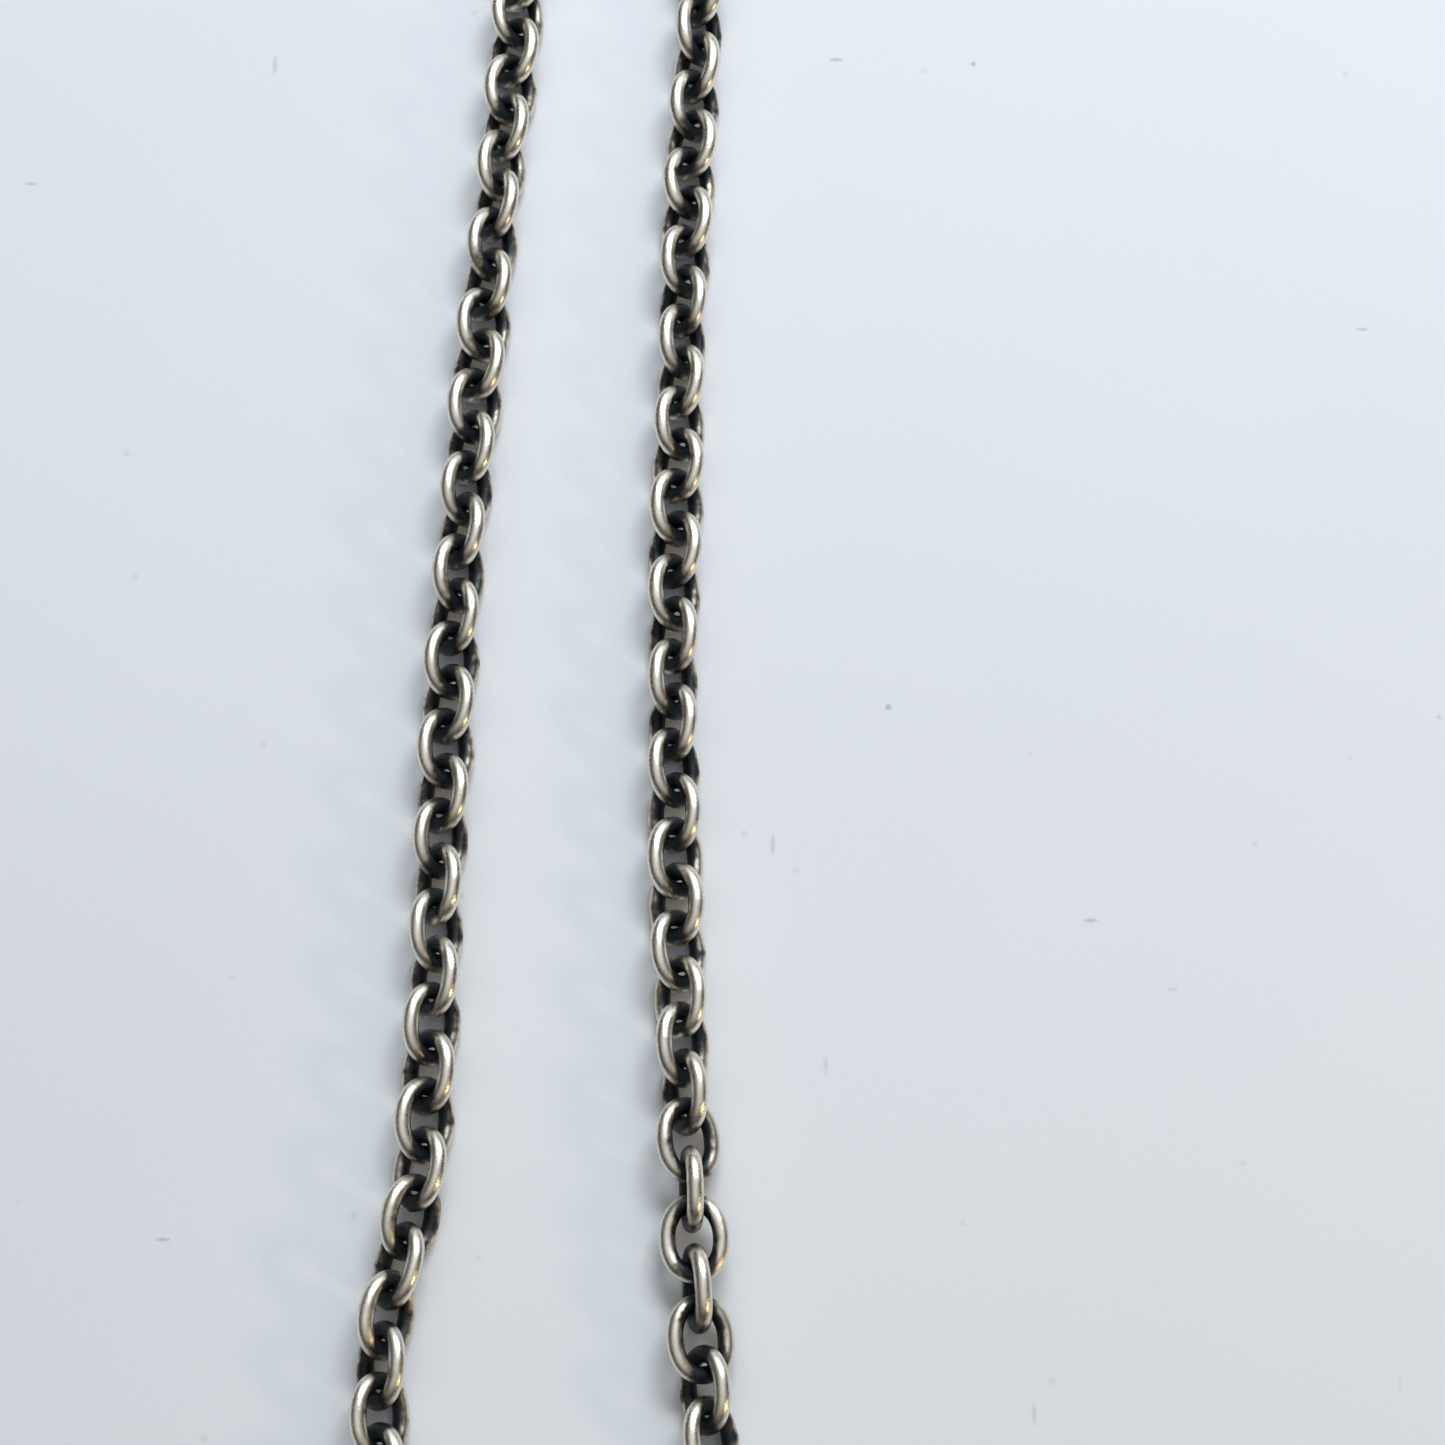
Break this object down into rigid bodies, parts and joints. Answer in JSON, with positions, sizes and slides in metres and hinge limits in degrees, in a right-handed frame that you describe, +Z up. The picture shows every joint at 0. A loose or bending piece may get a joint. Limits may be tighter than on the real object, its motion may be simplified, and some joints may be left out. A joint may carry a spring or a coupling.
{
  "type": "pendant necklace",
  "caption": "Oval-link cable chain in round oxidised silver wire with a plain domed pendant on a bail and a lobster clasp, lying open.",
  "frame": {"origin": "centre of the pendant's flat back, on the plane that the necklace lies on", "axes": "+Z up, away from the table and out of the pendant's front; the strands run from the pendant towards -Y, so +Y points along the necklace's length to the pendant's far edge"},
  "size_m": [0.1419, 0.2644, 0.0074],
  "materials": {
    "chain_silver": "blackened silver, polished where it rubs, dark blue-grey patina in the recesses",
    "pendant_silver": "satin silver, darkened round the rim",
    "ring_silver": "blackened silver wire, worn bright outside",
    "clasp_silver": "cast silver, satin, dark in the corners",
    "spring_steel": "drawn steel wire"
  },
  "bodies": {
    "chain_middle": {"chain_centre": "chain_silver"},
    "bail": {"bail": "pendant_silver"},
    "jump_ring": {"pendant_jump_ring": "ring_silver"},
    "pendant": {"pendant_disc": "pendant_silver", "pendant_rim": "pendant_silver", "pendant_loop": "pendant_silver"},
    "left_01": {"chain_left_01": "chain_silver"},
    "left_02": {"chain_left_02": "chain_silver"},
    "left_03": {"chain_left_03": "chain_silver"},
    "left_04": {"chain_left_04": "chain_silver"},
    "left_05": {"chain_left_05": "chain_silver"},
    "left_06": {"chain_left_06": "chain_silver"},
    "left_07": {"chain_left_07": "chain_silver"},
    "left_08": {"chain_left_08": "chain_silver"},
    "left_09": {"chain_left_09": "chain_silver"},
    "left_10": {"chain_left_10": "chain_silver"},
    "left_11": {"chain_left_11": "chain_silver"},
    "left_12": {"chain_left_12": "chain_silver"},
    "left_13": {"chain_left_13": "chain_silver"},
    "left_14": {"chain_left_14": "chain_silver"},
    "left_15": {"chain_left_15": "chain_silver"},
    "left_16": {"chain_left_16": "chain_silver"},
    "left_17": {"chain_left_17": "chain_silver"},
    "left_18": {"chain_left_18": "chain_silver"},
    "left_19": {"chain_left_19": "chain_silver"},
    "left_20": {"chain_left_20": "chain_silver"},
    "right_01": {"chain_right_01": "chain_silver"},
    "right_02": {"chain_right_02": "chain_silver"},
    "right_03": {"chain_right_03": "chain_silver"},
    "right_04": {"chain_right_04": "chain_silver"},
    "right_05": {"chain_right_05": "chain_silver"},
    "right_06": {"chain_right_06": "chain_silver"},
    "right_07": {"chain_right_07": "chain_silver"},
    "right_08": {"chain_right_08": "chain_silver"},
    "right_09": {"chain_right_09": "chain_silver"},
    "right_10": {"chain_right_10": "chain_silver"},
    "right_11": {"chain_right_11": "chain_silver"},
    "right_12": {"chain_right_12": "chain_silver"},
    "right_13": {"chain_right_13": "chain_silver"},
    "right_14": {"chain_right_14": "chain_silver"},
    "right_15": {"chain_right_15": "chain_silver"},
    "right_16": {"chain_right_16": "chain_silver"},
    "right_17": {"chain_right_17": "chain_silver"},
    "right_18": {"chain_right_18": "chain_silver"},
    "right_19": {"chain_right_19": "chain_silver"},
    "right_20": {"chain_right_20": "chain_silver"},
    "clasp_ring": {"clasp_jump_ring": "ring_silver"},
    "clasp": {"clasp_body": "clasp_silver", "clasp_pin": "spring_steel", "clasp_spring": "spring_steel"},
    "lever": {"clasp_lever": "clasp_silver"},
    "end_jump_ring": {"end_jump_ring": "ring_silver"},
    "end_ring": {"end_ring": "ring_silver"}
  },
  "joints": [
    {"name": "bail_swing", "type": "hinge", "parent": "chain_middle", "child": "bail", "pos_m": [0, -0.0226, 0.0037], "axis": [1, 0, 0], "range_deg": [0, 60]},
    {"name": "jump_ring_swing", "type": "hinge", "parent": "bail", "child": "jump_ring", "pos_m": [0, -0.01761, 0.00175], "axis": [1, 0, 0], "range_deg": [0, 35]},
    {"name": "pendant_swing", "type": "hinge", "parent": "jump_ring", "child": "pendant", "pos_m": [0, -0.01321, 0.00175], "axis": [1, 0, 0], "range_deg": [0, 35]},
    {"name": "left_01_turn", "type": "hinge", "parent": "chain_middle", "child": "left_01", "pos_m": [-0.00468, -0.02488, 0.00274], "axis": [0, 0, -1], "range_deg": [0, 24]},
    {"name": "left_02_lift", "type": "hinge", "parent": "left_01", "child": "left_02", "pos_m": [-0.00662, -0.03601, 0.00172], "axis": [-0.9999, -0.014, 0], "range_deg": [0, 24]},
    {"name": "left_03_turn", "type": "hinge", "parent": "left_02", "child": "left_03", "pos_m": [-0.0065, -0.04765, 0.00176], "axis": [0, 0, 1], "range_deg": [-24, 0]},
    {"name": "left_04_lift", "type": "hinge", "parent": "left_03", "child": "left_04", "pos_m": [-0.00686, -0.05929, 0.00171], "axis": [0.9987, -0.0519, 0], "range_deg": [-24, 0]},
    {"name": "left_05_turn", "type": "hinge", "parent": "left_04", "child": "left_05", "pos_m": [-0.00764, -0.0709, 0.00176], "axis": [0, 0, -1], "range_deg": [0, 24]},
    {"name": "left_06_lift", "type": "hinge", "parent": "left_05", "child": "left_06", "pos_m": [-0.00853, -0.08251, 0.00172], "axis": [-0.9973, 0.0731, 0], "range_deg": [0, 24]},
    {"name": "left_07_turn", "type": "hinge", "parent": "left_06", "child": "left_07", "pos_m": [-0.00934, -0.09412, 0.00175], "axis": [0, 0, 1], "range_deg": [-24, 0]},
    {"name": "left_08_lift", "type": "hinge", "parent": "left_07", "child": "left_08", "pos_m": [-0.00999, -0.10574, 0.00173], "axis": [0.9992, -0.0393, 0], "range_deg": [-24, 0]},
    {"name": "left_09_turn", "type": "hinge", "parent": "left_08", "child": "left_09", "pos_m": [-0.01034, -0.11737, 0.00173], "axis": [0, 0, -1], "range_deg": [0, 24]},
    {"name": "left_10_lift", "type": "hinge", "parent": "left_09", "child": "left_10", "pos_m": [-0.01051, -0.12901, 0.00174], "axis": [-0.9995, 0.0311, 0], "range_deg": [0, 24]},
    {"name": "left_11_turn", "type": "hinge", "parent": "left_10", "child": "left_11", "pos_m": [-0.01115, -0.14063, 0.00172], "axis": [0, 0, 1], "range_deg": [-24, 0]},
    {"name": "left_12_lift", "type": "hinge", "parent": "left_11", "child": "left_12", "pos_m": [-0.01286, -0.15209, 0.00175], "axis": [0.9996, 0.0273, 0], "range_deg": [-24, 0]},
    {"name": "left_13_turn", "type": "hinge", "parent": "left_12", "child": "left_13", "pos_m": [-0.01345, -0.1637, 0.00171], "axis": [0, 0, -1], "range_deg": [0, 24]},
    {"name": "left_14_lift", "type": "hinge", "parent": "left_13", "child": "left_14", "pos_m": [-0.01621, -0.17499, 0.00176], "axis": [-0.9387, 0.3447, 0], "range_deg": [0, 24]},
    {"name": "left_15_turn", "type": "hinge", "parent": "left_14", "child": "left_15", "pos_m": [-0.02079, -0.18568, 0.0017], "axis": [0, 0, 1], "range_deg": [-24, 0]},
    {"name": "left_16_lift", "type": "hinge", "parent": "left_15", "child": "left_16", "pos_m": [-0.02677, -0.19565, 0.00177], "axis": [0.8242, -0.5663, 0], "range_deg": [-24, 0]},
    {"name": "left_17_turn", "type": "hinge", "parent": "left_16", "child": "left_17", "pos_m": [-0.03374, -0.20497, 0.0017], "axis": [0, 0, -1], "range_deg": [0, 24]},
    {"name": "left_18_lift", "type": "hinge", "parent": "left_17", "child": "left_18", "pos_m": [-0.04107, -0.21401, 0.00177], "axis": [-0.7686, 0.6397, 0], "range_deg": [0, 24]},
    {"name": "left_19_turn", "type": "hinge", "parent": "left_18", "child": "left_19", "pos_m": [-0.04864, -0.22285, 0.00173], "axis": [0, 0, 1], "range_deg": [-24, 0]},
    {"name": "left_20_lift", "type": "hinge", "parent": "left_19", "child": "left_20", "pos_m": [-0.05649, -0.23145, 0.00206], "axis": [0.7396, -0.6731, 0], "range_deg": [-24, 0]},
    {"name": "right_01_turn", "type": "hinge", "parent": "chain_middle", "child": "right_01", "pos_m": [0.00335, -0.02383, 0.00272], "axis": [0, 0, 1], "range_deg": [0, 24]},
    {"name": "right_02_lift", "type": "hinge", "parent": "right_01", "child": "right_02", "pos_m": [0.00673, -0.03432, 0.00179], "axis": [-0.999, 0.0448, 0], "range_deg": [0, 24]},
    {"name": "right_03_turn", "type": "hinge", "parent": "right_02", "child": "right_03", "pos_m": [0.00629, -0.04595, 0.0017], "axis": [0, 0, -1], "range_deg": [-24, 0]},
    {"name": "right_04_lift", "type": "hinge", "parent": "right_03", "child": "right_04", "pos_m": [0.00566, -0.05757, 0.00176], "axis": [0.9982, -0.0593, 0], "range_deg": [-24, 0]},
    {"name": "right_05_turn", "type": "hinge", "parent": "right_04", "child": "right_05", "pos_m": [0.00501, -0.06919, 0.00171], "axis": [0, 0, 1], "range_deg": [0, 24]},
    {"name": "right_06_lift", "type": "hinge", "parent": "right_05", "child": "right_06", "pos_m": [0.0045, -0.08082, 0.00175], "axis": [-0.9995, 0.0304, 0], "range_deg": [0, 24]},
    {"name": "right_07_turn", "type": "hinge", "parent": "right_06", "child": "right_07", "pos_m": [0.00419, -0.09246, 0.00172], "axis": [0, 0, -1], "range_deg": [-24, 0]},
    {"name": "right_08_lift", "type": "hinge", "parent": "right_07", "child": "right_08", "pos_m": [0.00392, -0.10409, 0.00174], "axis": [1, -0.0058, 0], "range_deg": [-24, 0]},
    {"name": "right_09_turn", "type": "hinge", "parent": "right_08", "child": "right_09", "pos_m": [0.00399, -0.11573, 0.00173], "axis": [0, 0, 1], "range_deg": [0, 24]},
    {"name": "right_10_lift", "type": "hinge", "parent": "right_09", "child": "right_10", "pos_m": [0.00437, -0.12737, 0.00175], "axis": [-0.9989, -0.0479, 0], "range_deg": [0, 24]},
    {"name": "right_11_turn", "type": "hinge", "parent": "right_10", "child": "right_11", "pos_m": [0.00506, -0.13898, 0.00208], "axis": [0, 0, -1], "range_deg": [-24, 0]},
    {"name": "right_12_lift", "type": "hinge", "parent": "right_11", "child": "right_12", "pos_m": [0.00585, -0.1506, 0.00197], "axis": [0.9942, 0.1079, 0], "range_deg": [-24, 0]},
    {"name": "right_13_turn", "type": "hinge", "parent": "right_12", "child": "right_13", "pos_m": [0.00758, -0.1621, 0.00176], "axis": [0, 0, 1], "range_deg": [0, 24]},
    {"name": "right_14_lift", "type": "hinge", "parent": "right_13", "child": "right_14", "pos_m": [0.01077, -0.17329, 0.00171], "axis": [-0.9344, -0.3562, 0], "range_deg": [0, 24]},
    {"name": "right_15_turn", "type": "hinge", "parent": "right_14", "child": "right_15", "pos_m": [0.01549, -0.18392, 0.00176], "axis": [0, 0, -1], "range_deg": [-24, 0]},
    {"name": "right_16_lift", "type": "hinge", "parent": "right_15", "child": "right_16", "pos_m": [0.02165, -0.19378, 0.0017], "axis": [0.8162, 0.5777, 0], "range_deg": [-24, 0]},
    {"name": "right_17_turn", "type": "hinge", "parent": "right_16", "child": "right_17", "pos_m": [0.02878, -0.20298, 0.00177], "axis": [0, 0, 1], "range_deg": [0, 24]},
    {"name": "right_18_lift", "type": "hinge", "parent": "right_17", "child": "right_18", "pos_m": [0.03622, -0.21193, 0.00169], "axis": [-0.7718, -0.6358, 0], "range_deg": [0, 24]},
    {"name": "right_19_turn", "type": "hinge", "parent": "right_18", "child": "right_19", "pos_m": [0.04373, -0.22083, 0.0018], "axis": [0, 0, -1], "range_deg": [-24, 0]},
    {"name": "right_20_lift", "type": "hinge", "parent": "right_19", "child": "right_20", "pos_m": [0.05157, -0.22943, 0.00202], "axis": [0.7385, 0.6742, 0], "range_deg": [-24, 0]},
    {"name": "clasp_ring_turn", "type": "hinge", "parent": "left_20", "child": "clasp_ring", "pos_m": [-0.06434, -0.24007, 0.0022], "axis": [0, 0, 1], "range_deg": [-20, 20]},
    {"name": "clasp_lift", "type": "hinge", "parent": "clasp_ring", "child": "clasp", "pos_m": [-0.06546, -0.24131, 0.00175], "axis": [-0.7399, 0.6727, 0], "range_deg": [0, 30]},
    {"name": "lever_press", "type": "hinge", "parent": "clasp", "child": "lever", "pos_m": [-0.06933, -0.24779, 0.00175], "axis": [0, 0, -1], "range_deg": [0, 18], "stiffness_Nm_per_rad": 0.02, "springref_deg": -11.46},
    {"name": "end_jump_ring_turn", "type": "hinge", "parent": "right_20", "child": "end_jump_ring", "pos_m": [0.05941, -0.23805, 0.0022], "axis": [0, 0, 1], "range_deg": [-20, 20]},
    {"name": "end_ring_lift", "type": "hinge", "parent": "end_jump_ring", "child": "end_ring", "pos_m": [0.06054, -0.23929, 0.00175], "axis": [-0.7399, -0.6727, 0], "range_deg": [0, 30]}
  ]
}
